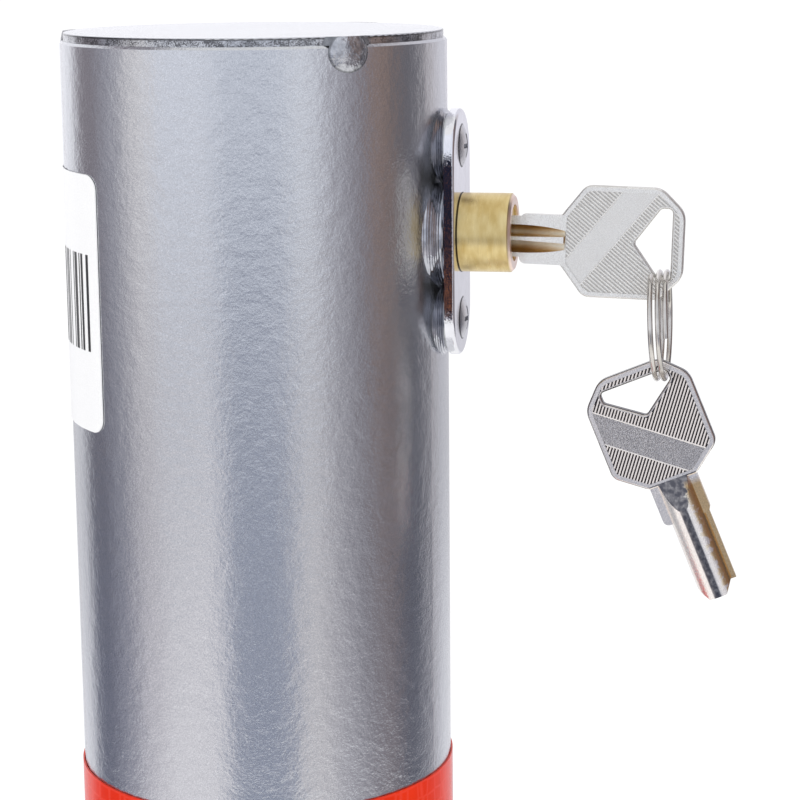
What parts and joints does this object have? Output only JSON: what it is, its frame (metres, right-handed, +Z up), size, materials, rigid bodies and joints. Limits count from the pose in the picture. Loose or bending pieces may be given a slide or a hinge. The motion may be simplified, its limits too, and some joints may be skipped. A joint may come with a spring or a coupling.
{
  "type": "parking bollard",
  "caption": "Round steel parking post on a bolted ground plate, with a push lock near its lid and keys on a ring; it lifts and folds down.",
  "frame": {"origin": "centre of the ground plate's underside, on the ground", "axes": "+Z up along the post, +X the way the lock faces, +Y the way the post falls when it is folded"},
  "size_m": [0.171, 0.15, 0.75],
  "materials": {
    "silver_paint": "glossy metallic paint",
    "lock_chrome": "polished",
    "lock_brass": "turned",
    "key_nickel": "nickel plated",
    "spring_steel": "bright",
    "zinc_steel": "zinc plated",
    "guide_plastic": "matte black",
    "band_film": "glossy reflective film",
    "sticker": "smooth white"
  },
  "bodies": {
    "base": {"base_plate": "silver_paint", "hinge_ear_left": "silver_paint", "hinge_ear_right": "silver_paint", "ear_welds": "silver_paint", "hinge_bolt": "zinc_steel", "hinge_nut": "zinc_steel", "hinge_washers": "zinc_steel"},
    "core": {"core_bar": "zinc_steel", "core_guide": "guide_plastic", "guide_pins": "zinc_steel", "lift_stop_pin": "zinc_steel"},
    "post": {"post_tube": "silver_paint", "top_cap": "silver_paint", "cap_weld_beads": "silver_paint", "tube_foot_disc": "silver_paint", "reflective_band": "band_film", "label": "sticker", "lock_collar": "silver_paint", "lock_boss_upper": "silver_paint", "lock_boss_lower": "silver_paint", "lock_washers": "zinc_steel", "lock_housing": "lock_chrome", "lock_screw_upper": "lock_chrome", "lock_screw_lower": "lock_chrome", "lock_back_plate": "zinc_steel", "lock_spring": "spring_steel"},
    "lock_barrel": {"lock_cylinder": "lock_brass", "lock_bolt": "zinc_steel", "plug_retainer": "lock_brass", "driver_pins": "lock_brass", "driver_springs": "spring_steel"},
    "plug": {"lock_plug": "lock_brass", "key_pins": "lock_brass", "key_in_lock": "key_nickel"},
    "ring": {"split_ring": "spring_steel"},
    "spare": {"spare_key": "key_nickel"}
  },
  "joints": [
    {"name": "fold", "type": "hinge", "parent": "base", "child": "core", "pos_m": [0, 0, 0.05], "axis": [-1, 0, 0], "range_deg": [0, 90]},
    {"name": "lift", "type": "slide", "parent": "core", "child": "post", "axis": [0, 0, 1], "range_m": [0, 0.0651]},
    {"name": "lock_push", "type": "slide", "parent": "post", "child": "lock_barrel", "axis": [-1, 0, 0], "range_m": [0, 0.0104], "stiffness_N_per_m": 400, "springref_m": -0.02, "deforming": ["lock_spring"]},
    {"name": "key_turn", "type": "hinge", "parent": "lock_barrel", "child": "plug", "pos_m": [0.04, 0, 0.7106], "axis": [1, 0, 0], "range_deg": [0, 90]},
    {"name": "ring_swing", "type": "hinge", "parent": "plug", "child": "ring", "pos_m": [0.08082, -0.0008, 0.70338], "axis": [0, -1, 0], "range_deg": [-10, 30]},
    {"name": "spare_key_swing", "type": "hinge", "parent": "ring", "child": "spare", "pos_m": [0.08082, -0.0008, 0.68257], "axis": [0, -1, 0], "range_deg": [-12, 40]}
  ],
  "couplings": [
    {"joint": "lift", "follows": "fold", "m_per_rad": 0.04138}
  ]
}
